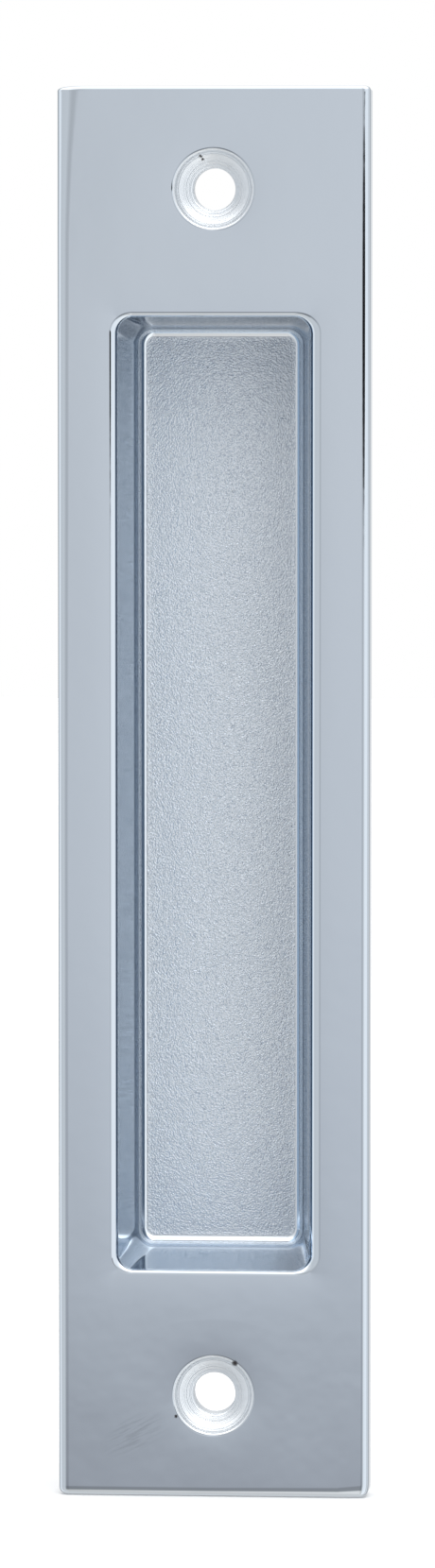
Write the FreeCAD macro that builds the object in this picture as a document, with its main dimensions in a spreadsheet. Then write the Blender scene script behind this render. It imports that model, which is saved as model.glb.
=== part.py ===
"""Flush sash lift handle: a one-piece chromed zinc die casting for a window sash or shutter.

A tall flange plate carries a drafted finger recess, closed behind by a cup that drops into
a mortise in the sash. One countersunk screw hole above and one below the cup hold it.

Frame: +Z up along the plate, -Y out of the front face, +X to the right seen from the front.
The origin is midway between the two screws, in the plane of the flange's back (y = 0).
Run it with FreeCAD's own Python. It writes parts/handle_casting.step, in millimetres.
"""

import FreeCAD, Part
import Sketcher
import os

NODE = "handle_casting"
TOUCH = 0.01  # mm within which a point counts as lying on a plane or a circle
EDGE_SAMPLES = 5  # points looked at along an edge when edges are picked by place

# Driving sizes in millimetres and degrees: alias, value, what it is.
SIZES = [
    ("plate_length", 152.0, "flange plate, overall height"),
    ("plate_width", 33.6, "flange plate, overall width"),
    ("plate_thickness", 4.0, "flange plate, front face to back face"),
    ("plate_corner", 1.1, "rounding of the plate's four outline corners"),
    ("plate_edge", 1.0, "rounding of the plate's front edge"),
    ("recess_length", 102.8, "finger recess, height where its walls meet the face"),
    ("recess_width", 20.8, "finger recess, width where its walls meet the face"),
    ("recess_depth", 12.0, "finger recess, front face to floor"),
    ("recess_draft", 7.2, "slope of the recess walls, which lets the casting leave its die"),
    ("recess_corner", 1.7, "rounding of the recess's four upright corners"),
    ("recess_lip", 0.85, "buffed rounding where the face rolls into the recess"),
    ("recess_floor_fillet", 1.4, "hollow rounding where the walls meet the floor"),
    ("cup_wall", 1.6, "thickness of the cup's walls"),
    ("cup_floor", 1.8, "thickness of the cup's floor"),
    ("cup_root_fillet", 0.8, "hollow rounding where the cup meets the flange's back"),
    ("screw_spacing", 130.0, "upper screw hole to lower screw hole"),
    ("screw_clearance", 4.5, "through bore for a No. 8 countersunk wood screw"),
    ("countersink_mouth", 8.7, "diameter of the countersink at the face"),
    ("countersink_angle", 90.0, "included angle of the countersink"),
    ("countersink_lip", 0.25, "buffed rounding round the countersink's mouth"),
    ("pin_mark_diameter", 5.0, "ejector pin witness on the flange's back"),
    ("pin_mark_depth", 0.2, "how far each ejector pin witness is sunk"),
    ("pin_mark_inset", 5.5, "ejector pin witness centre to the plate's end"),
]

doc = FreeCAD.newDocument("sash_lift_handle")


def make_sheet():
    """The spreadsheet of driving sizes, one aliased row for each."""
    rows = doc.addObject("Spreadsheet::Sheet", "sizes")
    for row, (alias, value, meaning) in enumerate(SIZES, start=1):
        rows.set(f"A{row}", alias)
        rows.set(f"B{row}", str(value))
        rows.set(f"C{row}", meaning)
        rows.setAlias(f"B{row}", alias)
    doc.recompute()
    return rows


sheet = make_sheet()


def size(alias):
    """The present value of a driving size."""
    return float(sheet.get(alias))


# Sketches


def face_sketch(body, name, height="0"):
    """A sketch parallel to the plate: its x is +X, its y is +Z and its normal is -Y.

    height is an expression for how far in front of the flange's back it lies.
    """
    plane = next(o for o in body.Origin.OriginFeatures if o.Role == "XZ_Plane")
    sketch = body.newObject("Sketcher::SketchObject", name)
    sketch.AttachmentSupport = [(plane, "")]
    sketch.MapMode = "FlatFace"
    sketch.setExpression("AttachmentOffset.Base.z", height)
    return sketch


def constrain(sketch, *terms):
    """Adds one constraint and returns its number."""
    return sketch.addConstraint(Sketcher.Constraint(*terms))


def bind(sketch, number, expression):
    """Drives a dimension of a sketch from the spreadsheet."""
    sketch.setExpression(f"Constraints[{number}]", expression)


def add_rectangle(sketch, width, height):
    """A rectangle centred on the sketch's origin, its two sizes bound to expressions."""
    half_w, half_h = 10.0, 20.0  # a start only: the constraints set the real size
    corners = [(-half_w, -half_h), (half_w, -half_h), (half_w, half_h), (-half_w, half_h)]
    for (x0, y0), (x1, y1) in zip(corners, corners[1:] + corners[:1]):
        start, end = FreeCAD.Vector(x0, y0, 0), FreeCAD.Vector(x1, y1, 0)
        sketch.addGeometry(Part.LineSegment(start, end), False)
    bottom, right, top, left = range(4)
    for line, after in ((bottom, right), (right, top), (top, left), (left, bottom)):
        constrain(sketch, "Coincident", line, 2, after, 1)
    for line in (bottom, top):
        constrain(sketch, "Horizontal", line)
    for line in (right, left):
        constrain(sketch, "Vertical", line)
    constrain(sketch, "Symmetric", bottom, 1, top, 1, -1, 1)
    bind(sketch, constrain(sketch, "DistanceX", bottom, 1, bottom, 2, 2 * half_w), width)
    bind(sketch, constrain(sketch, "DistanceY", right, 1, right, 2, 2 * half_h), height)


def add_circle_pair(sketch, diameter, spacing):
    """Two equal circles on the sketch's upright axis, an expression's distance apart."""
    half_spacing, radius = 20.0, 2.0  # a start only, as above
    for side in (1, -1):
        centre = FreeCAD.Vector(0, side * half_spacing, 0)
        sketch.addGeometry(Part.Circle(centre, FreeCAD.Vector(0, 0, 1), radius), False)
    upper, lower = range(2)
    constrain(sketch, "Symmetric", upper, 3, lower, 3, -1, 1)
    constrain(sketch, "PointOnObject", upper, 3, -2)
    constrain(sketch, "Equal", upper, lower)
    apart = constrain(sketch, "DistanceY", lower, 3, upper, 3, 2 * half_spacing)
    bind(sketch, apart, spacing)
    bind(sketch, constrain(sketch, "Diameter", upper, 2 * radius), diameter)


# Features


def finish_feature(feature, sign):
    """Recomputes, and insists that the feature added (+1) or removed (-1) material."""
    before = feature.BaseFeature.Shape.Volume if feature.BaseFeature else 0.0
    doc.recompute()
    change = feature.Shape.Volume - before
    if change * sign <= 0.0:
        raise RuntimeError(f"{feature.Name} changed the volume by {change:.3f} mm3")


def drafted(body, kind, name, profile, length):
    """A Pad behind the flange or a Pocket into its face, drawn in by the recess's draft."""
    feature = body.newObject(f"PartDesign::{kind}", name)
    feature.Profile = profile
    feature.Reversed = kind == "Pad"
    feature.setExpression("Length", length)
    feature.setExpression("TaperAngle", "-sizes.recess_draft")
    finish_feature(feature, +1 if kind == "Pad" else -1)


def on_level(value, level):
    """True where a coordinate or a radius has this value."""
    return abs(value - level) < TOUCH


def edges_where(shape, test):
    """Names of the edges that pass the test at every point looked at."""
    edges = enumerate(shape.Edges, start=1)
    return [f"Edge{i}" for i, edge in edges if all(map(test, edge.discretize(EDGE_SAMPLES)))]


def upright_edges(shape, start, end):
    """Names of the edges that run from one depth to another."""
    names = []
    for i, edge in enumerate(shape.Edges, start=1):
        depths = sorted(vertex.Point.y for vertex in edge.Vertexes)
        if len(depths) == 2 and on_level(depths[0], start) and on_level(depths[1], end):
            names.append(f"Edge{i}")
    return names


def fillet(body, name, edge_names, radius):
    """Rounds edges of what the body is so far."""
    if not edge_names:
        raise RuntimeError(f"{name} found no edges to round")
    base = body.Tip  # read first: a new feature becomes the tip
    feature = body.newObject("PartDesign::Fillet", name)
    feature.Base = (base, edge_names)
    feature.setExpression("Radius", radius)
    doc.recompute()


def add_flange(body):
    """The flat plate, from its back face out to the front face."""
    outline = face_sketch(body, "flange_outline")
    add_rectangle(outline, "sizes.plate_width", "sizes.plate_length")
    flange = body.newObject("PartDesign::Pad", "flange")
    flange.Profile = outline
    flange.setExpression("Length", "sizes.plate_thickness")
    finish_feature(flange, +1)


def add_cup(body):
    """The drafted block behind the flange, a wall's thickness outside the recess."""
    drawn_in = "2 * sizes.plate_thickness * tan(sizes.recess_draft * 1 deg)"
    walls = "2 * sizes.cup_wall / cos(sizes.recess_draft * 1 deg)"
    outline = face_sketch(body, "cup_outline")
    width = f"sizes.recess_width - {drawn_in} + {walls}"
    height = f"sizes.recess_length - {drawn_in} + {walls}"
    add_rectangle(outline, width, height)
    length = "sizes.recess_depth + sizes.cup_floor - sizes.plate_thickness"
    drafted(body, "Pad", "cup", outline, length)


def add_recess(body):
    """The finger recess, sunk from the front face."""
    rim = face_sketch(body, "recess_rim", "sizes.plate_thickness")
    add_rectangle(rim, "sizes.recess_width", "sizes.recess_length")
    drafted(body, "Pocket", "recess", rim, "sizes.recess_depth")


def round_edges(body):
    """Upright corners first, so that the later roundings run on round them."""
    front = -size("plate_thickness")
    floor = front + size("recess_depth")
    cup_back = floor + size("cup_floor")
    half_w, half_l = size("plate_width") / 2, size("plate_length") / 2
    rim_w, rim_l = size("recess_width") / 2, size("recess_length") / 2
    corner = size("plate_corner")

    def at_plate_corner(p):
        return on_level(abs(p.x), half_w) and on_level(abs(p.z), half_l)

    def on_outline(p):
        """On the plate's outer edge, its rounded corners included."""
        from_side, from_end = half_w - abs(p.x), half_l - abs(p.z)
        return min(from_side, from_end) < TOUCH or max(from_side, from_end) < corner

    def on_recess_rim(p):
        return on_level(p.y, front) and abs(p.x) < rim_w + TOUCH and abs(p.z) < rim_l + TOUCH

    def picked(test):
        return edges_where(body.Tip.Shape, test)

    fillet(body, "plate_corners", picked(at_plate_corner), "sizes.plate_corner")
    uprights = upright_edges(body.Tip.Shape, front, floor)
    fillet(body, "recess_corners", uprights, "sizes.recess_corner")
    uprights = upright_edges(body.Tip.Shape, 0.0, cup_back)
    fillet(body, "cup_corners", uprights, "sizes.recess_corner + sizes.cup_wall")

    cup_floor_edge = picked(lambda p: on_level(p.y, cup_back))
    fillet(body, "cup_floor_edge", cup_floor_edge, "sizes.recess_floor_fillet + sizes.cup_wall")
    cup_root = picked(lambda p: on_level(p.y, 0.0) and not on_outline(p))
    fillet(body, "cup_root", cup_root, "sizes.cup_root_fillet")
    floor_edge = picked(lambda p: on_level(p.y, floor))
    fillet(body, "recess_floor_edge", floor_edge, "sizes.recess_floor_fillet")
    fillet(body, "recess_lip", picked(on_recess_rim), "sizes.recess_lip")
    front_edge = picked(lambda p: on_level(p.y, front) and on_outline(p))
    fillet(body, "plate_edge", front_edge, "sizes.plate_edge")


def add_screw_holes(body):
    """The two countersunk bores, their mouths eased by the buffing wheel."""
    centres = face_sketch(body, "screw_centres", "sizes.plate_thickness")
    add_circle_pair(centres, "sizes.screw_clearance", "sizes.screw_spacing")
    doc.recompute()
    holes = body.newObject("PartDesign::Hole", "screw_holes")
    holes.Profile = centres
    holes.ThreadType = "None"
    holes.DepthType = "ThroughAll"
    holes.setExpression("Diameter", "sizes.screw_clearance")
    holes.HoleCutType = "Countersink"
    holes.HoleCutCustomValues = True
    holes.setExpression("HoleCutDiameter", "sizes.countersink_mouth")
    holes.setExpression("HoleCutCountersinkAngle", "sizes.countersink_angle")
    finish_feature(holes, -1)

    front = -size("plate_thickness")
    mouth_radius, centre = size("countersink_mouth") / 2, size("screw_spacing") / 2

    def on_mouth(p):
        """On the circle where a countersink meets the face."""
        radius = ((abs(p.z) - centre) ** 2 + p.x**2) ** 0.5
        return on_level(p.y, front) and on_level(radius, mouth_radius)

    mouths = edges_where(body.Tip.Shape, on_mouth)
    fillet(body, "countersink_lips", mouths, "sizes.countersink_lip")


def add_pin_marks(body):
    """Shallow witnesses of the ejector pins, one near each end of the flange's back."""
    marks = face_sketch(body, "pin_mark_outline")
    spacing = "sizes.plate_length - 2 * sizes.pin_mark_inset"
    add_circle_pair(marks, "sizes.pin_mark_diameter", spacing)
    pin_marks = body.newObject("PartDesign::Pocket", "pin_marks")
    pin_marks.Profile = marks
    pin_marks.Reversed = True
    pin_marks.setExpression("Length", "sizes.pin_mark_depth")
    finish_feature(pin_marks, -1)


def make_casting():
    """The whole handle, as one body in the order that its shape is built up."""
    body = doc.addObject("PartDesign::Body", NODE)
    body.Label = NODE
    add_flange(body)
    add_cup(body)
    add_recess(body)
    round_edges(body)
    add_screw_holes(body)
    add_pin_marks(body)
    body.Placement = FreeCAD.Placement(FreeCAD.Vector(0, 0, 0), FreeCAD.Rotation())
    doc.recompute()
    return body


def check(body):
    """Stops the script if anything in the document failed to build."""
    for item in doc.Objects:
        if "Invalid" in item.State or "Error" in item.State:
            raise RuntimeError(f"{item.Name} is {item.State}")
    shape = body.Shape
    if shape.isNull() or not shape.isValid() or len(shape.Solids) != 1:
        raise RuntimeError(f"{body.Label} is not one valid solid")


casting = make_casting()
check(casting)
os.makedirs("parts", exist_ok=True)
casting.Shape.exportStep(f"parts/{NODE}.step")

box = casting.Shape.optimalBoundingBox(False)
print(f"{NODE}: {box.XLength:.2f} x {box.YLength:.2f} x {box.ZLength:.2f} mm")
print(f"volume {casting.Shape.Volume / 1000:.2f} cm3")
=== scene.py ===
# %% [markdown]
# # A flush sash lift handle in chrome
#
# The object is taken to be one zinc die casting, buffed on its face, left as cast inside its finger
# recess, and plated all over with bright chrome. Chrome has almost no colour of its own: what
# shows is the room, bent by the shape. So the lesson is mostly about clean roundings and
# about the light that they reflect.
#
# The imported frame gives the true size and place. It is loaded first and measured, and
# everything after it is worked out from those numbers.

# %% Load the frame
import math

import bmesh
import bpy
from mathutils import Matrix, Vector


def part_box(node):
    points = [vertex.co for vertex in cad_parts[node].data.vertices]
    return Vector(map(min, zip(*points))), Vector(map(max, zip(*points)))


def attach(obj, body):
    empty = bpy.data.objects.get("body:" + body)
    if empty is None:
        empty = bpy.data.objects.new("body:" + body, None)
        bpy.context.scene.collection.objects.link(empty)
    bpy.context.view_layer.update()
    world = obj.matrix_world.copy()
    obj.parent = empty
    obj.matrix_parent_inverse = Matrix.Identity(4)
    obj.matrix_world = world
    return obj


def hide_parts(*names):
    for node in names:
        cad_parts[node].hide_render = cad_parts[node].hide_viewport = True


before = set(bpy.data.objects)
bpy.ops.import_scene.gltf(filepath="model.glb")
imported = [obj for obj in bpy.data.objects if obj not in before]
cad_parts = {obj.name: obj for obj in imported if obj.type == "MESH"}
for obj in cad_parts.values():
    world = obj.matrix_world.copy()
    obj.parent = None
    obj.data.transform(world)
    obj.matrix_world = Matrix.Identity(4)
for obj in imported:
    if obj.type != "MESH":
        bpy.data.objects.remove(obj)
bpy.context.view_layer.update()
low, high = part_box("handle_casting")
MM = 0.001
print("frame box in mm:", [round(v / MM, 2) for v in (high - low)])

# %% [markdown]
# ## Sizes
#
# The flange plate's outline and the total depth come from the frame. The rest are the sizes
# that the casting was designed to, in metres. A rounding is given by how far it reaches from
# the sharp edge, because that is what a bevel asks for.

# %% Named sizes
FACE_Y = low.y
BACK_Y = 0.0
CUP_BACK_Y = high.y
PLATE_WIDTH = high.x - low.x
PLATE_LENGTH = high.z - low.z
FLOOR_Y = CUP_BACK_Y - 1.8 * MM
RECESS_WIDTH = 20.8 * MM
RECESS_LENGTH = 102.8 * MM
DRAFT = math.radians(7.2)
CUP_WALL = 1.6 * MM
CORNER_RADIUS = 1.7 * MM
FLOOR_FILLET = 1.4 * MM
ROOT_FILLET = 0.8 * MM
LIP_RADIUS = 1.1 * MM
EDGE_REACH = 1.2 * MM
SCREW_SPACING = 130.0 * MM
BORE_RADIUS = 2.25 * MM
MOUTH_RADIUS = 4.2 * MM
MOUTH_REACH = 0.36 * MM
BOWL_RADIUS = 3.95 * MM
BOWL_DEPTH = 0.65 * MM
SEAT_DEPTH = 1.95 * MM
TINY = 0.02 * MM

# The walls lean in by the draft, so a wall meets the face or the floor at less than a right
# angle of turn, and a round of radius r reaches r times this from the sharp edge.
WALL_TURN = math.pi / 2 - DRAFT
REACH = math.tan(WALL_TURN / 2)


def drawn_in(depth):
    """How much narrower, side to side, the draft makes a wall at this depth."""
    return 2 * depth * math.tan(DRAFT)


print("recess floor in mm:", round((RECESS_WIDTH - drawn_in(FLOOR_Y - FACE_Y)) / MM, 2), "wide")

# %% [markdown]
# ## Picking by place
#
# By hand, faces and edges are clicked. In code they are picked by where they are: each
# helper clears the selection and then selects what passes a test.

# %% Selection helpers


def edit_mesh():
    """The mesh being edited, as bmesh sees it."""
    return bmesh.from_edit_mesh(bpy.context.edit_object.data)


def pick_faces(test):
    """Selects the faces that pass the test, and nothing else."""
    bpy.ops.mesh.select_mode(type="FACE")
    bpy.ops.mesh.select_all(action="DESELECT")
    mesh = edit_mesh()
    chosen = [face for face in mesh.faces if test(face)]
    for face in chosen:
        face.select_set(True)
    bmesh.update_edit_mesh(bpy.context.edit_object.data)
    return len(chosen)


def pick_edges(test):
    """Selects the edges whose two ends both pass the test, and nothing else."""
    bpy.ops.mesh.select_mode(type="EDGE")
    bpy.ops.mesh.select_all(action="DESELECT")
    mesh = edit_mesh()
    chosen = [edge for edge in mesh.edges if all(test(v.co) for v in edge.verts)]
    for edge in chosen:
        edge.select_set(True)
    bmesh.update_edit_mesh(bpy.context.edit_object.data)
    return len(chosen)


def near(value, level):
    """True where a coordinate has this value."""
    return abs(value - level) < TINY


def fit_rectangle(width, length, depth):
    """Resizes what is selected to a rectangle of this size about the middle of the plate."""
    chosen = [v.co for v in edit_mesh().verts if v.select]
    now_wide = 2 * max(abs(co.x) for co in chosen)
    now_long = 2 * max(abs(co.z) for co in chosen)
    factors = (width / now_wide, 1.0, length / now_long)
    bpy.ops.transform.resize(value=factors, center_override=(0.0, depth, 0.0))


def bevel(reach, segments, profile=0.5):
    """Rounds the selected edges. A profile over a half starts its curve more gently."""
    bpy.ops.mesh.bevel(
        offset_type="OFFSET",
        offset=reach,
        segments=segments,
        profile=profile,
        affect="EDGES",
        clamp_overlap=False,
        loop_slide=False,
    )


# %% [markdown]
# ## The blank
#
# The casting could be lofted from outlines, but a box worked by inset and extrude is quicker
# and keeps every wall flat. The flange plate is a box. An inset of its face becomes the mouth
# of the recess and is pushed in; an inset of its back becomes the root of the cup and is
# pulled out. Each end is made smaller by the draft, which is what lets the real casting
# slide out of its die.

# %% Block out the plate, the recess and the cup
SQUARE = 0.9  # a face with more than this of its normal along Y looks straight out or back
FIRST_INSET = 3 * MM  # a start only: fit_rectangle sets the real size
bpy.ops.object.select_all(action="DESELECT")
bpy.ops.mesh.primitive_cube_add(
    size=1.0,
    location=(0.0, (FACE_Y + BACK_Y) / 2, 0.0),
    scale=(PLATE_WIDTH, BACK_Y - FACE_Y, PLATE_LENGTH),
)
handle = bpy.context.object
handle.name = "sash_lift_handle"
bpy.ops.object.transform_apply(location=True, rotation=True, scale=True)
bpy.ops.object.mode_set(mode="EDIT")

pick_faces(lambda f: f.normal.y < -SQUARE)
bpy.ops.mesh.inset(thickness=FIRST_INSET)
fit_rectangle(RECESS_WIDTH, RECESS_LENGTH, FACE_Y)
sunk = FLOOR_Y - FACE_Y
bpy.ops.mesh.extrude_region_move(TRANSFORM_OT_translate={"value": (0.0, sunk, 0.0)})
fit_rectangle(RECESS_WIDTH - drawn_in(sunk), RECESS_LENGTH - drawn_in(sunk), FLOOR_Y)

walls = 2 * CUP_WALL / math.cos(DRAFT) - drawn_in(BACK_Y - FACE_Y)
cup_width, cup_length = RECESS_WIDTH + walls, RECESS_LENGTH + walls
cup_depth = CUP_BACK_Y - BACK_Y
pick_faces(lambda f: f.normal.y > SQUARE)
bpy.ops.mesh.inset(thickness=FIRST_INSET)
fit_rectangle(cup_width, cup_length, BACK_Y)
bpy.ops.mesh.extrude_region_move(TRANSFORM_OT_translate={"value": (0.0, cup_depth, 0.0)})
fit_rectangle(cup_width - drawn_in(cup_depth), cup_length - drawn_in(cup_depth), CUP_BACK_Y)


def merge_round_mouth(level):
    """Turns the ring that an inset left into four quarters, split at the middles of its sides.

    The inset's own split runs from corner to corner, just where the roundings turn.
    """
    for normal in ((1.0, 0.0, 0.0), (0.0, 0.0, 1.0)):
        pick_faces(lambda f: abs(f.normal.y) > SQUARE and all(near(v.co.y, level) for v in f.verts))
        bpy.ops.mesh.bisect(plane_co=(0.0, 0.0, 0.0), plane_no=normal)
    bpy.ops.mesh.select_mode(type="EDGE")
    bpy.ops.mesh.select_all(action="DESELECT")
    for edge in edit_mesh().edges:
        a, b = (v.co for v in edge.verts)
        slants = not near(a.x, b.x) and not near(a.z, b.z)
        if near(a.y, level) and near(b.y, level) and slants:
            edge.select_set(True)
    bmesh.update_edit_mesh(bpy.context.edit_object.data)
    bpy.ops.mesh.dissolve_edges(use_verts=False)


merge_round_mouth(FACE_Y)
merge_round_mouth(BACK_Y)
print("blank has", len(edit_mesh().faces), "faces")

# %% [markdown]
# ## Roundings
#
# The order matters. The upright corners of the recess and the cup come first, so that the
# later roundings run on round them. The plate's own corners and front edge are bevelled
# together, which gives the soft three-way corner that a buffing wheel leaves. The buffed
# outer edges get a profile over a half: the wheel starts the curve gently, and chrome shows
# the difference as a wider, softer first line of reflection. The rim of the recess keeps a
# plain round.

# %% Round the uprights, then the rims
BUFFED = 0.62
DRAWN = 0.5


def pick_uprights(start, end, mouth_width):
    """Selects the four corner edges that run from one depth to another."""
    bpy.ops.mesh.select_mode(type="EDGE")
    bpy.ops.mesh.select_all(action="DESELECT")
    for edge in edit_mesh().edges:
        depths = sorted(v.co.y for v in edge.verts)
        inside = all(abs(v.co.x) < mouth_width / 2 + TINY for v in edge.verts)
        if near(depths[0], start) and near(depths[1], end) and inside:
            edge.select_set(True)
    bmesh.update_edit_mesh(bpy.context.edit_object.data)


pick_uprights(FACE_Y, FLOOR_Y, RECESS_WIDTH)
bevel(CORNER_RADIUS, 12)
pick_uprights(BACK_Y, CUP_BACK_Y, cup_width)
bevel(CORNER_RADIUS + CUP_WALL, 12)


def on_recess_rim(co):
    inside = abs(co.x) < RECESS_WIDTH / 2 + TINY and abs(co.z) < RECESS_LENGTH / 2 + TINY
    return near(co.y, FACE_Y) and inside


def on_cup_root(co):
    inside = abs(co.x) < cup_width / 2 + TINY and abs(co.z) < cup_length / 2 + TINY
    return near(co.y, BACK_Y) and inside


def on_plate_outline(co):
    return near(abs(co.x), PLATE_WIDTH / 2) or near(abs(co.z), PLATE_LENGTH / 2)


pick_edges(lambda co: near(co.y, CUP_BACK_Y))
bevel((FLOOR_FILLET + CUP_WALL) * REACH, 10)
pick_edges(on_cup_root)
bevel(ROOT_FILLET * REACH, 6)
pick_edges(lambda co: near(co.y, FLOOR_Y))
bevel(FLOOR_FILLET * REACH, 12)
pick_edges(on_recess_rim)
bevel(LIP_RADIUS * REACH, 12, DRAWN)


def pick_front_edge():
    """Selects the plate's front outline and its four upright corners."""
    bpy.ops.mesh.select_mode(type="EDGE")
    bpy.ops.mesh.select_all(action="DESELECT")
    count = 0
    for edge in edit_mesh().edges:
        a, b = (v.co for v in edge.verts)
        outline = on_plate_outline(a) and on_plate_outline(b)
        front = near(a.y, FACE_Y) and near(b.y, FACE_Y)
        at_corner = near(abs(a.x), PLATE_WIDTH / 2) and near(abs(a.z), PLATE_LENGTH / 2)
        upright = at_corner and near(a.x, b.x) and near(a.z, b.z)
        if outline and (front or upright):
            edge.select_set(True)
            count += 1
    bmesh.update_edit_mesh(bpy.context.edit_object.data)
    return count


def cut_across(axis, level):
    """Cuts the whole mesh with a plane square to an axis, and keeps both sides."""
    bpy.ops.mesh.select_all(action="SELECT")
    point = [level if i == axis else 0.0 for i in range(3)]
    normal = [1.0 if i == axis else 0.0 for i in range(3)]
    bpy.ops.mesh.bisect(plane_co=point, plane_no=normal)


# Cuts beside the edges give the uneven buffing below something to bend.
CUT_FROM_SIDE = 3.4 * MM
CUTS_FROM_END = [3 * MM, 6 * MM, 10 * MM, 16 * MM]
for side in (-1, 1):
    cut_across(0, side * (PLATE_WIDTH / 2 - CUT_FROM_SIDE))
    for from_end in CUTS_FROM_END:
        cut_across(2, side * (PLATE_LENGTH / 2 - from_end))
print("front edges picked:", pick_front_edge())
bevel(EDGE_REACH, 12, BUFFED)
print("rounded blank has", len(edit_mesh().faces), "faces")
bpy.ops.object.mode_set(mode="OBJECT")

# %% [markdown]
# ## Uneven buffing
#
# Buffing by hand rounds every edge differently, and two of the corners more. The shares below
# are set for where the reflections fall under this scene's light, so they aren't
# measured. A real bevel of a different size on every edge would need its corners repaired, so
# the even one is stretched instead: each rounded point moves nearer to or further from the
# sharp edge it replaced.

# %% Stretch the rounded edges
EDGE_WEAR = {"left": 0.98, "right": 0.84, "top": 0.55, "bottom": 0.84}
RIM_WEAR = {"left": 0.8, "right": 1.2, "top": 0.55, "bottom": 0.5}
LEANED_TOP_LEFT, TOP_LEFT_FADE = 1.25, 8 * MM
LEANED_BOTTOM_RIGHT, BOTTOM_RIGHT_FADE = 0.6, 2 * MM
DEEPEST_WEAR = 1.3
half_wide, half_long = PLATE_WIDTH / 2, PLATE_LENGTH / 2


def sides_of(co):
    """The names of the long and the short side that this point is nearer to."""
    return ("left" if co.x < 0 else "right", "bottom" if co.z < 0 else "top")


def wear_edge(co):
    """Where a point of the plate's rounded outline goes, or None if it isn't one."""
    in_wide, in_long = half_wide - abs(co.x), half_long - abs(co.z)
    rounded = EDGE_REACH + TINY
    if min(in_wide, in_long) > rounded or co.y > BACK_Y - TINY and min(in_wide, in_long) > TINY:
        return None
    long_side, short_side = sides_of(co)
    wide, long = EDGE_WEAR[long_side], EDGE_WEAR[short_side]
    if (long_side, short_side) == ("left", "top"):
        wide += LEANED_TOP_LEFT * math.exp(-in_long / TOP_LEFT_FADE)
    if (long_side, short_side) == ("right", "bottom"):
        long += LEANED_BOTTOM_RIGHT * math.exp(-in_wide / BOTTOM_RIGHT_FADE)
    to_wide, to_long = max(rounded - in_wide, 0.0), max(rounded - in_long, 0.0)
    share = to_long / (to_wide + to_long)
    depth = co.y - FACE_Y
    if depth < rounded:
        depth *= min(wide, DEEPEST_WEAR) * (1 - share) + long * share
    if in_wide < rounded:
        in_wide *= wide
    if in_long < rounded:
        in_long *= long
    x = math.copysign(half_wide - in_wide, co.x)
    z = math.copysign(half_long - in_long, co.z)
    return (x, FACE_Y + depth, z)


def wear_rim(co):
    """Where a point of the recess's rounded rim goes, or None if it isn't one."""
    core_x, core_z = RECESS_WIDTH / 2 - CORNER_RADIUS, RECESS_LENGTH / 2 - CORNER_RADIUS
    from_x, from_z = max(abs(co.x) - core_x, 0.0), max(abs(co.z) - core_z, 0.0)
    out, angle = math.hypot(from_x, from_z) - CORNER_RADIUS, math.atan2(from_z, from_x)
    rounded = LIP_RADIUS * REACH + TINY
    depth = co.y - FACE_Y
    if out > rounded or out < -rounded or depth > rounded:
        return None
    long_side, short_side = sides_of(co)
    wear = RIM_WEAR[long_side] * math.cos(angle) ** 2 + RIM_WEAR[short_side] * math.sin(angle) ** 2
    out = CORNER_RADIUS + out * wear
    x = math.copysign(core_x + out * math.cos(angle), co.x) if from_x > 0 else co.x
    z = math.copysign(core_z + out * math.sin(angle), co.z) if from_z > 0 else co.z
    return (x, FACE_Y + depth * wear, z)


moved = 0
for point in handle.data.vertices:
    worn_to = wear_edge(point.co) or wear_rim(point.co)
    if worn_to:
        point.co = worn_to
        moved += 1
print("points moved by the buffing:", moved)

# %% [markdown]
# ## Screw holes and ejector pin marks
#
# The holes could be modelled into the plate's grid, but a boolean with one turned cutter is
# how the countersinking tool does it. The cutter is a bore, a shallow seat for the screw's
# head, a steeper cone up to the face and a wide collar. The ring between seat and cone is
# bevelled wide, which dishes the countersink as the wheel does. The collar's underside stops
# a hair above the face, and the corner below it is bevelled too, so the cut leaves a rounded
# rim. The ejector pins that push the casting from its die leave two shallow round marks in
# the back.

# %% Cutters
ROUND = 128
PIN_RADIUS = 2.5 * MM
PIN_DEPTH = 0.2 * MM
PIN_PLACE = PLATE_LENGTH / 2 - 5.5 * MM
HAIR = 0.001 * MM
COLLAR = 1.4  # how much wider than the mouth the cutter is where it clears the face
DISHED_REACH = 0.4 * MM
SEAT_REACH = 0.08 * MM


def add_rod(radius, start, end, height):
    """A round rod along Y between two depths, at this height."""
    bpy.ops.object.select_all(action="DESELECT")
    bpy.ops.mesh.primitive_cylinder_add(
        vertices=ROUND,
        radius=radius,
        depth=end - start,
        location=(0.0, (start + end) / 2, height),
        rotation=(math.pi / 2, 0.0, 0.0),
    )
    bpy.ops.object.transform_apply(location=True, rotation=True, scale=True)
    return bpy.context.object


def pull_ring(shift, factor, height):
    """Extrudes the picked end of a rod by a shift along Y and changes its radius."""
    bpy.ops.mesh.extrude_region_move(TRANSFORM_OT_translate={"value": (0.0, shift, 0.0)})
    bpy.ops.transform.resize(value=(factor, 1.0, factor), center_override=(0.0, 0.0, height))


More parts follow.
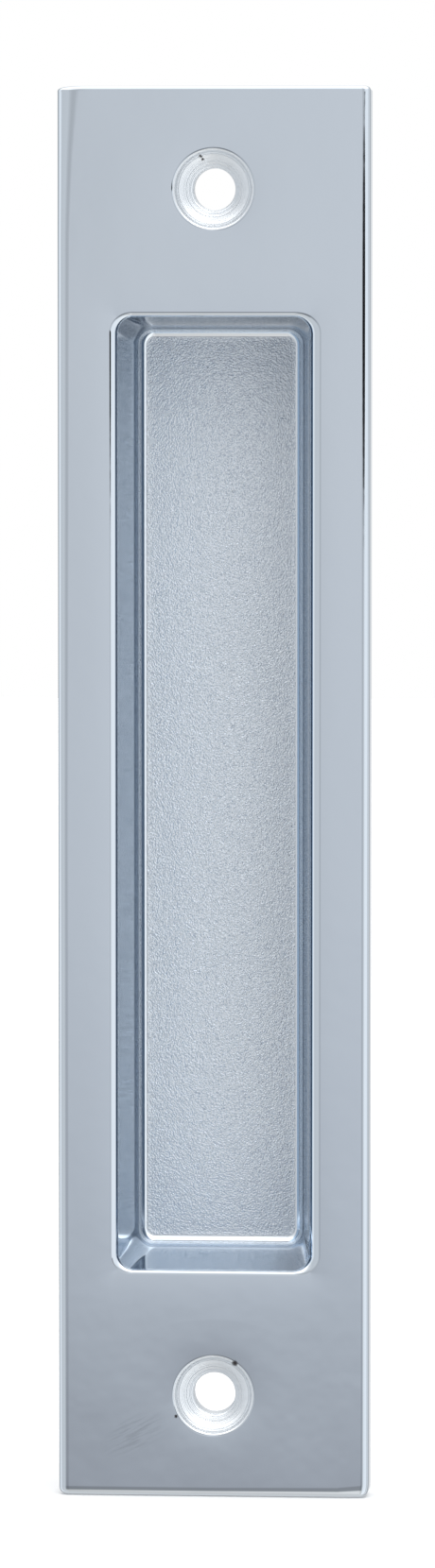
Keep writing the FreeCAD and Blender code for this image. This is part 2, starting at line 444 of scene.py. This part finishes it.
def add_countersink_tool(height):
    """The turned cutter of one screw hole."""
    tool = add_rod(BORE_RADIUS, FACE_Y + SEAT_DEPTH, BACK_Y + 1 * MM, height)
    bpy.ops.object.mode_set(mode="EDIT")
    pick_faces(lambda f: f.normal.y < -SQUARE)
    pull_ring(BOWL_DEPTH - SEAT_DEPTH, BOWL_RADIUS / BORE_RADIUS, height)
    pull_ring(-BOWL_DEPTH - HAIR, MOUTH_RADIUS / BOWL_RADIUS, height)
    pull_ring(0.0, COLLAR, height)
    pull_ring(-1 * MM, 1.0, height)
    rim = MOUTH_RADIUS + TINY
    pick_edges(lambda co: near(co.y, FACE_Y) and math.hypot(co.x, co.z - height) < rim)
    bevel(MOUTH_REACH, 8, BUFFED)
    pick_edges(lambda co: near(co.y, FACE_Y + BOWL_DEPTH))
    bevel(DISHED_REACH, 10)
    pick_edges(lambda co: near(co.y, FACE_Y + SEAT_DEPTH))
    bevel(SEAT_REACH, 4)
    bpy.ops.object.mode_set(mode="OBJECT")
    return tool


tools = [add_countersink_tool(side * SCREW_SPACING / 2) for side in (-1, 1)]
tools += [add_rod(PIN_RADIUS, -PIN_DEPTH, 1 * MM, side * PIN_PLACE) for side in (-1, 1)]
bpy.ops.object.select_all(action="DESELECT")
for tool in tools:
    tool.select_set(True)
bpy.context.view_layer.objects.active = tools[0]
bpy.ops.object.join()
cutter = bpy.context.object
print("cutter has", len(cutter.data.polygons), "faces")

# %% Cut
bpy.ops.object.select_all(action="DESELECT")
handle.select_set(True)
bpy.context.view_layer.objects.active = handle
bpy.ops.object.modifier_add(type="BOOLEAN")
cut = handle.modifiers[-1]
cut.operation = "DIFFERENCE"
cut.solver = "EXACT"
cut.object = cutter
bpy.ops.object.modifier_apply(modifier=cut.name)
bpy.data.objects.remove(cutter)
print("cut casting has", len(handle.data.polygons), "faces")

# %% [markdown]
# ## Shading
#
# On bright chrome a smooth surface needs true normals, because the reflection shows every
# fault in them. Weighted normals let each large flat face keep its own direction right up to
# its roundings, so the flats reflect as flats and only the roundings bend the room.

# %% Smooth shading with weighted normals
SHARPEST_SMOOTH = math.radians(32)
bpy.ops.object.shade_smooth_by_angle(angle=SHARPEST_SMOOTH)
bpy.ops.object.modifier_add(type="WEIGHTED_NORMAL")
weighting = handle.modifiers[-1]
weighting.mode = "FACE_AREA"
weighting.weight = 50
weighting.keep_sharp = True
bpy.ops.object.modifier_apply(modifier=weighting.name)
solid = bmesh.new()
solid.from_mesh(handle.data)
open_edges = sum(1 for edge in solid.edges if not edge.is_manifold)
print("volume in cm3:", round(solid.calc_volume() * 1e6, 3), "open edges:", open_edges)
solid.free()

# %% [markdown]
# ## Effects shared by the finishes
#
# Every finish on the casting is the same chrome, so the finishes differ only in what lies
# under the plating, besides the painted light and shade in the colours of the recess and the
# countersinks. Each shared effect is a node group: it reads the piece's Object
# coordinates in metres and puts out a height or a mask, and each finish sets its strength.

# %% Node helpers


class Nodes:
    """A node tree with short ways to add and link nodes."""

    def __init__(self, tree):
        self.tree = tree
        self.nodes = tree.nodes
        self.links = tree.links

    def add(self, kind, **settings):
        node = self.nodes.new(kind)
        for name, value in settings.items():
            setattr(node, name, value)
        return node

    def feed(self, socket, value):
        """Links an output to a socket, or sets a plain value on it."""
        if isinstance(value, bpy.types.NodeSocket):
            self.links.new(value, socket)
        else:
            socket.default_value = value

    def math(self, operation, *values):
        node = self.add("ShaderNodeMath", operation=operation)
        for socket, value in zip(node.inputs, values):
            self.feed(socket, value)
        return node.outputs[0]

    def length(self, across, up):
        """How far a point is from the origin of a plane."""
        squares = [self.math("POWER", value, 2.0) for value in (across, up)]
        return self.math("SQRT", self.math("ADD", *squares))

    def noise(self, vector, scale, detail=2.0, stretch=(1.0, 1.0, 1.0)):
        """Noise with this many cells to a metre."""
        mapping = self.add("ShaderNodeMapping")
        self.feed(mapping.inputs["Vector"], vector)
        mapping.inputs["Scale"].default_value = stretch
        node = self.add("ShaderNodeTexNoise")
        self.feed(node.inputs["Vector"], mapping.outputs[0])
        self.feed(node.inputs["Scale"], scale)
        node.inputs["Detail"].default_value = detail
        return node.outputs["Fac"]

    def ramp(self, value, start, end, first=0.0, last=1.0):
        """Maps start..end to first..last smoothly, and holds the ends."""
        node = self.add("ShaderNodeMapRange", interpolation_type="SMOOTHSTEP")
        for name, number in zip(("Value", "From Min", "From Max"), (value, start, end)):
            self.feed(node.inputs[name], number)
        self.feed(node.inputs["To Min"], first)
        self.feed(node.inputs["To Max"], last)
        return node.outputs["Result"]

    def coordinates(self):
        return self.add("ShaderNodeTexCoord").outputs["Object"]

    def split(self, vector):
        node = self.add("ShaderNodeSeparateXYZ")
        self.feed(node.inputs[0], vector)
        return node.outputs

    def blend(self, factor, first, second):
        """Mixes two colours."""
        node = self.add("ShaderNodeMix", data_type="RGBA")
        for index, value in zip((0, 6, 7), (factor, first, second)):
            self.feed(node.inputs[index], value)
        return node.outputs[2]


def new_group(name, inputs, outputs):
    """A shader node group with float inputs and outputs, and its two end nodes."""
    group = bpy.data.node_groups.new(name, "ShaderNodeTree")
    for label, value in inputs.items():
        socket = group.interface.new_socket(label, in_out="INPUT", socket_type="NodeSocketFloat")
        socket.default_value = value
    for label in outputs:
        group.interface.new_socket(label, in_out="OUTPUT", socket_type="NodeSocketFloat")
    nodes = Nodes(group)
    return nodes, nodes.add("NodeGroupInput").outputs, nodes.add("NodeGroupOutput").inputs


# %% [markdown]
# ### Swell
#
# Buffing leaves long shallow swells that nobody can feel but that bend straight reflections
# a little. A large soft noise, stretched along the plate, gives them.

# %% The swell group
swell, given, out = new_group("polishing_swell", {"Cells": 60.0, "Height": 1.0}, ["Height"])
coordinates = swell.coordinates()
long_wave = swell.noise(coordinates, given["Cells"], 1.0, (1.0, 1.0, 0.45))
short_wave = swell.noise(coordinates, swell.math("MULTIPLY", given["Cells"], 6.0), 1.0)
wave = swell.math("MULTIPLY_ADD", short_wave, 0.06, long_wave)
swell.feed(out["Height"], swell.math("MULTIPLY", wave, given["Height"]))

# %% [markdown]
# ### Roll-off
#
# A cloth wheel sinks a little into every opening it passes, so the flat face starts to fall
# away some millimetres before a rim. The fall is a few hundredths of a millimetre, which is
# too little to model but plain to see in chrome. The group measures how far a point is from
# the recess or from a screw hole and puts out the fall there. Its size is given.

# %% The roll-off group
roll_off, given, out = new_group("wheel_roll_off", {"Reach": 1.5 * MM, "Fall": 1.0}, ["Height"])
parts = roll_off.split(roll_off.coordinates())
aside, upward = (roll_off.math("ABSOLUTE", parts[axis]) for axis in ("X", "Z"))
past_side = roll_off.math("MAXIMUM", roll_off.math("SUBTRACT", aside, RECESS_WIDTH / 2), 0.0)
past_end = roll_off.math("MAXIMUM", roll_off.math("SUBTRACT", upward, RECESS_LENGTH / 2), 0.0)
from_recess = roll_off.length(past_side, past_end)
from_hole = roll_off.length(aside, roll_off.math("SUBTRACT", upward, SCREW_SPACING / 2))
from_hole = roll_off.math("SUBTRACT", from_hole, MOUTH_RADIUS)
falls = []
for distance, share in ((from_recess, 1.0), (from_hole, 0.5)):
    steps = roll_off.math("DIVIDE", distance, given["Reach"])
    faded = roll_off.math("EXPONENT", roll_off.math("MULTIPLY", steps, -1.0))
    falls.append(roll_off.math("MULTIPLY", faded, share))
deepest = roll_off.math("MAXIMUM", *falls)
fall = roll_off.math("MULTIPLY", deepest, given["Fall"])
roll_off.feed(out["Height"], roll_off.math("MULTIPLY", fall, -1.0))

# %% [markdown]
# ### Handling marks
#
# Below the lower screw is a dull patch a few millimetres wide, on the slant. It is an ellipse
# with a soft edge, and fine noise drawn out along the slant breaks it into scratches.

# %% The rubbed patch group
RUBBED_PLACE = (-8.6 * MM, 0.0, -69.3 * MM)
RUBBED_SIZE = (4.6 * MM, 1.0, 2.5 * MM)
RUBBED_SLANT = math.radians(28)
rubbed, given, out = new_group("rubbed_patch", {"Cells": 2600.0}, ["Mask"])
turn = rubbed.add("ShaderNodeMapping", vector_type="TEXTURE")
rubbed.feed(turn.inputs["Vector"], rubbed.coordinates())
turn.inputs["Location"].default_value = RUBBED_PLACE
turn.inputs["Rotation"].default_value = (0.0, -RUBBED_SLANT, 0.0)
slanted = turn.outputs[0]
parts = rubbed.split(slanted)
across = rubbed.math("DIVIDE", parts["X"], RUBBED_SIZE[0])
upward = rubbed.math("DIVIDE", parts["Z"], RUBBED_SIZE[2])
patch = rubbed.ramp(rubbed.length(across, upward), 0.2, 1.0, 1.0, 0.0)
scratches = rubbed.noise(slanted, given["Cells"], 2.0, (0.12, 1.0, 1.0))
lines = rubbed.ramp(scratches, 0.36, 0.70)
rubbed.feed(out["Mask"], rubbed.math("MULTIPLY", patch, lines))

# %% [markdown]
# ### Dark spots
#
# There are small dark spots at both countersinks. Each spot is a dark disc at a named place,
# given in millimetres across and along the plate with its size. Noise added to the distance
# from the middle makes its edge ragged.

# %% The dark spot group
DARK_SPOTS = [(2.3, -61.5, 0.62), (-4.0, -67.3, 0.44), (-1.4, 68.5, 0.44), (-1.2, 68.2, 0.40)]
dark_spots, given, out = new_group("rim_dark_spots", {"Ragged": 0.35 * MM}, ["Mask"])
coordinates = dark_spots.coordinates()
uneven = dark_spots.math("MULTIPLY", dark_spots.noise(coordinates, 5200.0), given["Ragged"])
parts = dark_spots.split(coordinates)
mask = 0.0
for across, up, radius in DARK_SPOTS:
    from_middle = dark_spots.length(
        dark_spots.math("SUBTRACT", parts["X"], across * MM),
        dark_spots.math("SUBTRACT", parts["Z"], up * MM),
    )
    edge = dark_spots.math("ADD", from_middle, uneven)
    mask = dark_spots.math("MAXIMUM", mask, dark_spots.ramp(edge, 0.5 * radius * MM, radius * MM, 1.0, 0.0))
dark_spots.feed(out["Mask"], mask)

# %% [markdown]
# ### Specks
#
# Plating picks up small pits, and dust settles on it. Both are scattered points of a random
# size, most of them too small to see. A Voronoi texture gives each cell one point, and its
# random colour leaves most of the cells empty.

# %% The speck group
specks, given, out = new_group(
    "plating_specks", {"Cells": 900.0, "Share": 0.06, "Size": 0.22}, ["Mask"]
)
cells = specks.add("ShaderNodeTexVoronoi")
specks.feed(cells.inputs["Vector"], specks.coordinates())
specks.feed(cells.inputs["Scale"], given["Cells"])
chance = specks.add("ShaderNodeSeparateColor")
specks.feed(chance.inputs[0], cells.outputs["Color"])
kept = specks.math("LESS_THAN", chance.outputs[0], given["Share"])
reach = specks.math("MULTIPLY", given["Size"], chance.outputs[1])
disc = specks.ramp(cells.outputs["Distance"], 0.0, reach, 1.0, 0.0)
specks.feed(out["Mask"], specks.math("MULTIPLY", disc, kept))

# %% [markdown]
# ### Orange peel
#
# The floor of the recess is grained, in rounded bumps a sixth of a millimetre across. Two
# sizes of noise together look less regular than one. Close up, the grain comes out stronger
# and crisper than on the real casting. The back has a coarser grain of the same kind.

# %% The orange peel group
peel, given, out = new_group("orange_peel", {"Cells": 2600.0, "Height": 1.0}, ["Height"])
coordinates = peel.coordinates()
coarse = peel.noise(coordinates, given["Cells"], 1.0)
fine = peel.noise(coordinates, peel.math("MULTIPLY", given["Cells"], 1.9), 1.0)
mixed = peel.math("ADD", peel.math("MULTIPLY", fine, 0.55), coarse)
peel.feed(out["Height"], peel.math("MULTIPLY", mixed, given["Height"]))
print("effects:", [group.name for group in bpy.data.node_groups])

# %% [markdown]
# ## The chrome finishes
#
# A metal needs only a colour, a roughness and a surface. The colour is chrome's cold grey
# white, with painted shade on the recess walls and painted light on the recess floor and the
# countersinks. The roughness and the bump are what tell the finishes apart: the buffed face is near
# a mirror, the walls of the recess are duller because no wheel reaches them, the floor is
# grained, and the countersinks keep the rings that the cutter left.

# %% Chrome shader
CHROME = (0.66, 0.715, 0.775, 1.0)
TARNISH = (0.40, 0.44, 0.49, 1.0)
NEAR_BLACK = (0.05, 0.045, 0.045, 1.0)
# Painted light: a brighter copy of the chrome, for the countersinks.
PAINTED_LIGHT_COUNTERSINK_CHROME = (0.86, 0.89, 0.92, 1.0)
# Painted shade and painted light: darker copies of the chrome for the recess walls, a brighter one
# for its floor.
PAINTED_SHADE_WALL_CHROME = (0.31, 0.40, 0.505, 1.0)
PAINTED_LIGHT_FLOOR_CHROME = (0.785, 0.83, 0.88, 1.0)
DARKEST_PAINTED_SHADE_WALL_CHROME = (0.14, 0.19, 0.26, 1.0)


def new_chrome(name):
    """A material with an empty Principled metal in it: its nodes and its shader."""
    material = bpy.data.materials.new(name)
    material.use_nodes = True
    nodes = Nodes(material.node_tree)
    shader = nodes.nodes["Principled BSDF"]
    shader.inputs["Metallic"].default_value = 1.0
    shader.inputs["Base Color"].default_value = CHROME
    return material, nodes, shader


def use(nodes, group, **inputs):
    """Places a shared effect with its own values."""
    node = nodes.add("ShaderNodeGroup", node_tree=group.tree)
    for label, value in inputs.items():
        nodes.feed(node.inputs[label], value)
    return node.outputs


def raise_surface(nodes, shader, height, distance):
    """Sends a height to the shader's normal through a Bump node."""
    bump = nodes.add("ShaderNodeBump")
    bump.inputs["Distance"].default_value = distance
    bump.inputs["Strength"].default_value = 1.0
    nodes.feed(bump.inputs["Height"], height)
    nodes.feed(shader.inputs["Normal"], bump.outputs[0])


# %% [markdown]
# ### Buffed face
#
# The face, its rounded edge and the rim of the recess are buffed bright. A mirror that is
# perfect looks like glass, so it gets slight swells, a haze that varies over the plate, and
# a few specks.

# %% Buffed face
buffed_face, nodes, shader = new_chrome("chrome_buffed_face")
haze = nodes.noise(nodes.coordinates(), 90.0, 4.0)
dots = use(nodes, specks, Cells=700.0, Share=0.03, Size=0.20)["Mask"]
rub = use(nodes, rubbed, Cells=3800.0)["Mask"]
dark_spot = use(nodes, dark_spots, Ragged=0.35 * MM)["Mask"]
dull = nodes.math("MULTIPLY_ADD", haze, 0.03, 0.03)
duller = nodes.math("MULTIPLY_ADD", rub, 0.16, dull)
nodes.feed(shader.inputs["Roughness"], nodes.math("MULTIPLY_ADD", dots, 0.3, duller))
worn = nodes.math("MAXIMUM", dots, nodes.math("MULTIPLY", rub, 0.32))
speckled = nodes.blend(worn, CHROME, TARNISH)
nodes.feed(shader.inputs["Base Color"], nodes.blend(dark_spot, speckled, NEAR_BLACK))
wave = use(nodes, swell, Cells=70.0, Height=0.07)["Height"]
fall = use(nodes, roll_off, Reach=1.7 * MM, Fall=0.042)["Height"]
raise_surface(nodes, shader, nodes.math("ADD", wave, fall), MM)

# %% [markdown]
# ### Recess walls and floor
#
# Walls and floor are one continuous cast surface, so they are one finish. The floor's grain
# starts where the smooth rounding round it ends, so a mask that grows with depth brings it
# in. The walls carry faint streaks down the draw of the die.
#
# The tints are painted light and shade. The room here is simpler than a real one and gives the
# walls of a deep recess too much light, so painted shade makes the walls darker than the floor,
# the top and right walls darkest, and painted light makes the bottom wall a little lighter and
# the floor brighter than the face's chrome. They say nothing about the real plating.

# %% Recess finish
# Where the painted shade of the right and top walls and the painted light of the bottom wall and
# floor begin.
RIGHT_WALL_PAINTED_SHADE = (5.0 * MM, 9.0 * MM)
WALL_STARTS, WALL_IS_FULL = 48.5 * MM, 49.5 * MM
BOTTOM_WALL_PAINTED_LIGHT = 0.24
FLOOR_PAINTED_LIGHT_DEPTH = (FLOOR_Y - 1.4 * MM, FLOOR_Y - 0.6 * MM)
GRAIN_DEPTH = (FLOOR_Y - 0.14 * MM, FLOOR_Y - 0.01 * MM)
cast_recess_painted_light_and_shade, nodes, shader = new_chrome("chrome_cast_recess_painted_light_and_shade")
coordinates = nodes.coordinates()
along = nodes.split(coordinates)
floor_mask = nodes.ramp(along["Y"], *GRAIN_DEPTH)
grain = use(nodes, peel, Cells=6200.0, Height=1.0)["Height"]
streaks = nodes.noise(coordinates, 700.0, 2.0, (1.0, 0.06, 1.0))
dots = use(nodes, specks, Cells=900.0, Share=0.10, Size=0.25)["Mask"]
wall_rough = nodes.math("MULTIPLY_ADD", streaks, 0.06, 0.10)
floor_rough = nodes.math("MULTIPLY", floor_mask, 0.13)
nodes.feed(shader.inputs["Roughness"], nodes.math("ADD", wall_rough, floor_rough))
# Painted shade on the right and top walls, painted light on the foot of the bottom wall and on the
# floor.
right = nodes.ramp(along["X"], *RIGHT_WALL_PAINTED_SHADE)
top = nodes.ramp(along["Z"], WALL_STARTS, WALL_IS_FULL)
bottom = nodes.ramp(along["Z"], -WALL_IS_FULL, -WALL_STARTS, BOTTOM_WALL_PAINTED_LIGHT, 0.0)
walls_painted_shade = nodes.blend(nodes.math("MAXIMUM", right, top), PAINTED_SHADE_WALL_CHROME, DARKEST_PAINTED_SHADE_WALL_CHROME)
floor_painted_light_mask = nodes.ramp(along["Y"], *FLOOR_PAINTED_LIGHT_DEPTH)
recess_painted_light_and_shade = nodes.blend(nodes.math("MAXIMUM", floor_painted_light_mask, bottom), walls_painted_shade, PAINTED_LIGHT_FLOOR_CHROME)
nodes.feed(shader.inputs["Base Color"], nodes.blend(dots, recess_painted_light_and_shade, TARNISH))
grained = nodes.math("MULTIPLY", grain, floor_mask)
streaked = nodes.math("MULTIPLY", streaks, 0.01)
raise_surface(nodes, shader, nodes.math("ADD", grained, streaked), 0.105 * MM)

# %% [markdown]
# ### Countersinks and bores
#
# The cutter's rings are circles about the screw's axis. The distance from that axis, fed to
# a noise of one dimension, gives rings of random spacing, which look turned where evenly
# spaced ones look printed.

# %% Countersink finish
turned, nodes, shader = new_chrome("chrome_turned_countersink_painted_light")
along = nodes.split(nodes.coordinates())
from_axis = nodes.math("SUBTRACT", nodes.math("ABSOLUTE", along["Z"]), SCREW_SPACING / 2)
radius = nodes.length(along["X"], from_axis)
rings = nodes.add("ShaderNodeTexNoise", noise_dimensions="1D")
nodes.feed(rings.inputs["W"], radius)
rings.inputs["Scale"].default_value = 9000.0
rings.inputs["Detail"].default_value = 1.0
nodes.feed(shader.inputs["Roughness"], nodes.math("MULTIPLY_ADD", rings.outputs[0], 0.20, 0.24))
dark_spot = use(nodes, dark_spots, Ragged=0.35 * MM)["Mask"]
# The countersinks' chrome is brighter than the face's: painted light.
nodes.feed(shader.inputs["Base Color"], nodes.blend(dark_spot, PAINTED_LIGHT_COUNTERSINK_CHROME, NEAR_BLACK))
raise_surface(nodes, shader, rings.outputs[0], 0.05 * MM)

# %% [markdown]
# ### Back
#
# The back lies on the sash, so nobody buffs it. It is plated over the die's own skin: satin,
# with a fine grain and the flow marks of the metal.

# %% Back finish
back_cast, nodes, shader = new_chrome("chrome_back_cast")
flow = nodes.noise(nodes.coordinates(), 45.0, 3.0, (1.0, 1.0, 0.3))
skin = use(nodes, peel, Cells=1500.0, Height=0.5)["Height"]
dots = use(nodes, specks, Cells=500.0, Share=0.15, Size=0.25)["Mask"]
nodes.feed(shader.inputs["Roughness"], nodes.math("MULTIPLY_ADD", flow, 0.2, 0.22))
nodes.feed(shader.inputs["Base Color"], nodes.blend(dots, CHROME, TARNISH))
raise_surface(nodes, shader, nodes.math("ADD", skin, flow), 0.02 * MM)

# %% [markdown]
# ## Put each finish where it belongs
#
# The buffing stops a little way down inside the rim of the recess, and the countersinks'
# finish stops halfway over their rounded rims. Faces are sorted by their middle and normal.

# %% Assign the finishes
FINISHES = [buffed_face, cast_recess_painted_light_and_shade, turned, back_cast]
for finish in FINISHES:
    handle.data.materials.append(finish)
BUFFED_DEPTH = 0.9 * MM


def finish_at(middle, normal):
    """Which finish the face with this middle and normal has, as its place in the list."""
    from_screw = math.hypot(middle.x, abs(middle.z) - SCREW_SPACING / 2)
    in_hole = from_screw < MOUTH_RADIUS + MOUTH_REACH / 2 and middle.y < BACK_Y - TINY
    if in_hole and normal.y > -SQUARE:
        return 2
    if normal.y > 0.02 or middle.y > BACK_Y and abs(middle.x) > RECESS_WIDTH / 2:
        return 3
    in_mouth = abs(middle.x) < RECESS_WIDTH / 2 and abs(middle.z) < RECESS_LENGTH / 2
    if in_mouth and middle.y > FACE_Y + BUFFED_DEPTH:
        return 1
    return 0


for face in handle.data.polygons:
    face.material_index = finish_at(face.center, face.normal)
counts = [sum(1 for f in handle.data.polygons if f.material_index == i) for i in range(4)]
print("faces of each finish:", dict(zip([m.name for m in FINISHES], counts)))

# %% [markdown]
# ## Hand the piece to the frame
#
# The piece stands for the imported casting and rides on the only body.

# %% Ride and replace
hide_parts("handle_casting")
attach(handle, "root")

# %% [markdown]
# ## Room and floor
#
# Chrome is lit by what it reflects, so the light here is the room itself: a soft tent whose
# brightness depends on direction. It is painted by the direction of the ray: a bright
# ceiling, a pale front that darkens towards the table, grey screens at the sides and behind,
# and one dark soft shape beside the viewer, which draws the thin dark lines in the rounded
# edges. What the viewer looks at directly is plain white.
#
# The two tables of elevations hold a direction in degrees and a colour, one for the front
# and one for round about. The table of sides holds a direction and a brightness. All are given.

# %% The soft tent
world = bpy.data.worlds.new("soft_tent")
bpy.context.scene.world = world
world.use_nodes = True
tent = Nodes(world.node_tree)


def degrees(radians):
    """Radians to degrees, as a node."""
    return tent.math("MULTIPLY", radians, 180 / math.pi)


towards = tent.split(tent.coordinates())
forward = tent.math("MULTIPLY", towards["Y"], -1.0)
elevation = degrees(tent.math("ARCSINE", towards["Z"]))
azimuth = degrees(tent.math("ARCTAN2", towards["X"], forward))
FRONT = [
    (-90.0, (0.97, 0.95, 0.92)),
    (-38.0, (0.97, 0.95, 0.92)),
    (-30.0, (0.34, 0.35, 0.36)),
    (-12.0, (0.32, 0.33, 0.35)),
    (-9.3, (0.47, 0.485, 0.52)),
    (-8.4, (0.57, 0.59, 0.625)),
    (-7.3, (0.64, 0.66, 0.70)),
    (-5.0, (0.71, 0.73, 0.765)),
    (0.0, (0.755, 0.77, 0.795)),
    (22.0, (0.75, 0.77, 0.80)),
    (36.0, (1.0, 1.0, 1.0)),
    (50.0, (1.9, 1.9, 1.9)),
    (90.0, (1.9, 1.9, 1.9)),
]
ROUND_ABOUT = [
    (-90.0, (0.90, 0.90, 0.88)),
    (-10.0, (0.76, 0.78, 0.80)),
    (20.0, (0.76, 0.78, 0.80)),
    (36.0, (1.0, 1.0, 1.0)),
    (50.0, (1.9, 1.9, 1.9)),
    (90.0, (1.9, 1.9, 1.9)),
]
SIDES = [
    (-180.0, 1.0),
    (-160.0, 0.9),
    (-140.0, 0.5),
    (-118.0, 0.9),
    (-97.0, 1.4),
    (-82.0, 1.4),
    (-66.0, 0.95),
    (-26.0, 0.98),
    (-13.0, 0.76),
    (-8.5, 0.78),
    (-5.6, 0.96),
    (-3.2, 1.03),
    (-0.5, 1.05),
    (3.5, 0.8),
    (10.0, 0.85),
    (26.0, 1.4),
    (78.0, 1.42),
    (85.0, 0.85),
    (95.0, 0.85),
    (102.0, 1.3),
    (112.0, 1.2),
    (140.0, 0.5),
    (160.0, 0.9),
    (180.0, 1.0),
]
TOP_LIGHT = 1.9
FRONT_MIDDLE = -4.0
FRONT_FADE = (8.0, 24.0)
DARK_MIDDLE = (14.0, -0.2)
DARK_REACH = (14.0, 1.75)
DARK_BORDER = (0.7, 1.05)
DARKEST = 0.02


def paint(angle, reach, stops_wanted):
    """A ramp along an angle that runs from -reach to reach, divided by the top light."""
    ramp = tent.add("ShaderNodeValToRGB")
    stops = ramp.color_ramp.elements
    stops.remove(stops[1])
    for index, (at, colour) in enumerate(stops_wanted):
        position = (at + reach) / (2 * reach)
        stop = stops[0] if index == 0 else stops.new(position)
        stop.position = position
        parts = colour if isinstance(colour, tuple) else (colour, colour, colour)
        stop.color = [part / TOP_LIGHT for part in parts] + [1.0]
    share = tent.math("DIVIDE", tent.math("ADD", angle, reach), 2 * reach)
    tent.feed(ramp.inputs[0], share)
    return ramp.outputs[0]


front = paint(elevation, 90.0, FRONT)
round_about = paint(elevation, 90.0, ROUND_ABOUT)
off_front = tent.math("ABSOLUTE", tent.math("SUBTRACT", azimuth, FRONT_MIDDLE))
tent_colour = tent.blend(tent.ramp(off_front, *FRONT_FADE), front, round_about)
side_level = tent.math("MULTIPLY", paint(azimuth, 180.0, SIDES), TOP_LIGHT)
off_centre = tent.length(
    tent.math("DIVIDE", tent.math("SUBTRACT", azimuth, DARK_MIDDLE[0]), DARK_REACH[0]),
    tent.math("DIVIDE", tent.math("SUBTRACT", elevation, DARK_MIDDLE[1]), DARK_REACH[1]),
)
dark_shape = tent.ramp(off_centre, *DARK_BORDER, DARKEST, 1.0)
strength = tent.math("MULTIPLY", tent.math("MULTIPLY", side_level, dark_shape), TOP_LIGHT)
background = tent.nodes["Background"]
tent.feed(background.inputs["Color"], tent_colour)
tent.feed(background.inputs["Strength"], strength)
seen = tent.add("ShaderNodeBackground")
seen.inputs["Color"].default_value = (1.0, 1.0, 1.0, 1.0)
rays = tent.add("ShaderNodeLightPath")
choose = tent.add("ShaderNodeMixShader")
tent.feed(choose.inputs[0], rays.outputs["Is Camera Ray"])
tent.feed(choose.inputs[1], background.outputs[0])
tent.feed(choose.inputs[2], seen.outputs[0])
tent.feed(tent.nodes["World Output"].inputs["Surface"], choose.outputs[0])

# %% The floor
bpy.ops.object.select_all(action="DESELECT")
bpy.ops.mesh.primitive_plane_add(size=3.0, location=(0.0, 0.0, low.z - 0.05 * MM))
floor = bpy.context.object
floor.name = "floor"
pale = bpy.data.materials.new("pale_floor")
pale.use_nodes = True
pale_shader = pale.node_tree.nodes["Principled BSDF"]
pale_shader.inputs["Base Color"].default_value = (0.9, 0.9, 0.9, 1.0)
pale_shader.inputs["Roughness"].default_value = 0.9
pale_shader.inputs["Specular IOR Level"].default_value = 0.0
floor.data.materials.append(pale)
floor.visible_glossy = False

# %% [markdown]
# ## Camera
#
# The viewer stands almost straight in front, a little to the right and a little above, less
# than a metre away. A long lens keeps the plate's sides nearly parallel.

# %% Camera
CAMERA_AT = (0.05695, -0.7751, 0.0548)
LOOKING_AT = (0.00046, -0.004, 0.00128)
bpy.ops.object.camera_add(location=CAMERA_AT)
camera = bpy.context.object
camera.name = "camera"
camera.data.sensor_width = 36.0
camera.data.lens = 165.6
camera.data.dof.use_dof = False
sight = Vector(LOOKING_AT) - Vector(CAMERA_AT)
camera.rotation_euler = sight.to_track_quat("-Z", "Y").to_euler()
bpy.context.scene.camera = camera
bpy.context.scene.view_settings.view_transform = "Standard"
